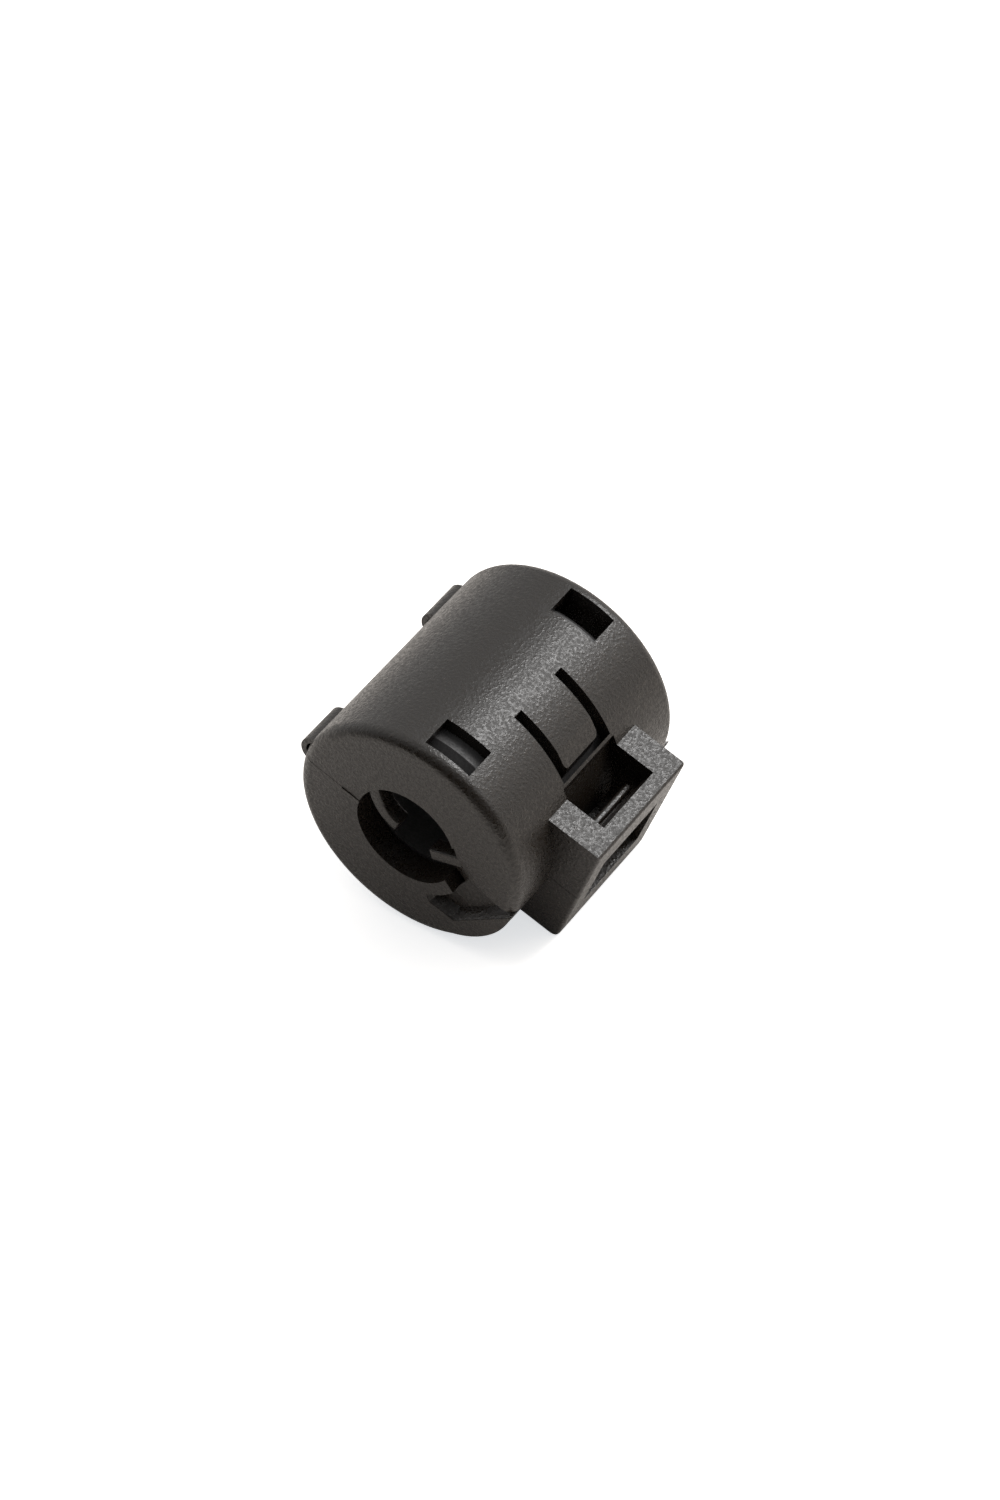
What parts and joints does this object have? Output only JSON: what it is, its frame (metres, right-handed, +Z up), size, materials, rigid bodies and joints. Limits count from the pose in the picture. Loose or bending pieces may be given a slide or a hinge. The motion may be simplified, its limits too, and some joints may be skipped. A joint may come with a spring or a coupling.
{
  "type": "clip-on ferrite core",
  "caption": "Round clip-on ferrite core for a cable: hinged two-part case with snap latch and split ferrite tube.",
  "frame": {"origin": "centre of the cable bore at mid-length", "axes": "+Y along the cable bore, +Z up in the position the closed case rests in, +X towards the latch, which lies low"},
  "size_m": [0.023, 0.0208, 0.019],
  "materials": {
    "case_plastic": "spark-eroded matt",
    "ferrite": "sintered ferrite, dark grey, ground faces"
  },
  "bodies": {
    "lower_half": {"lower_shell": "case_plastic", "lower_core": "ferrite"},
    "upper_half": {"upper_shell": "case_plastic", "upper_core": "ferrite"}
  },
  "joints": [
    {"name": "case_hinge", "type": "hinge", "parent": "lower_half", "child": "upper_half", "pos_m": [-0.00951, 0, 0.00369], "axis": [0, -1, 0], "range_deg": [0, 180]}
  ]
}
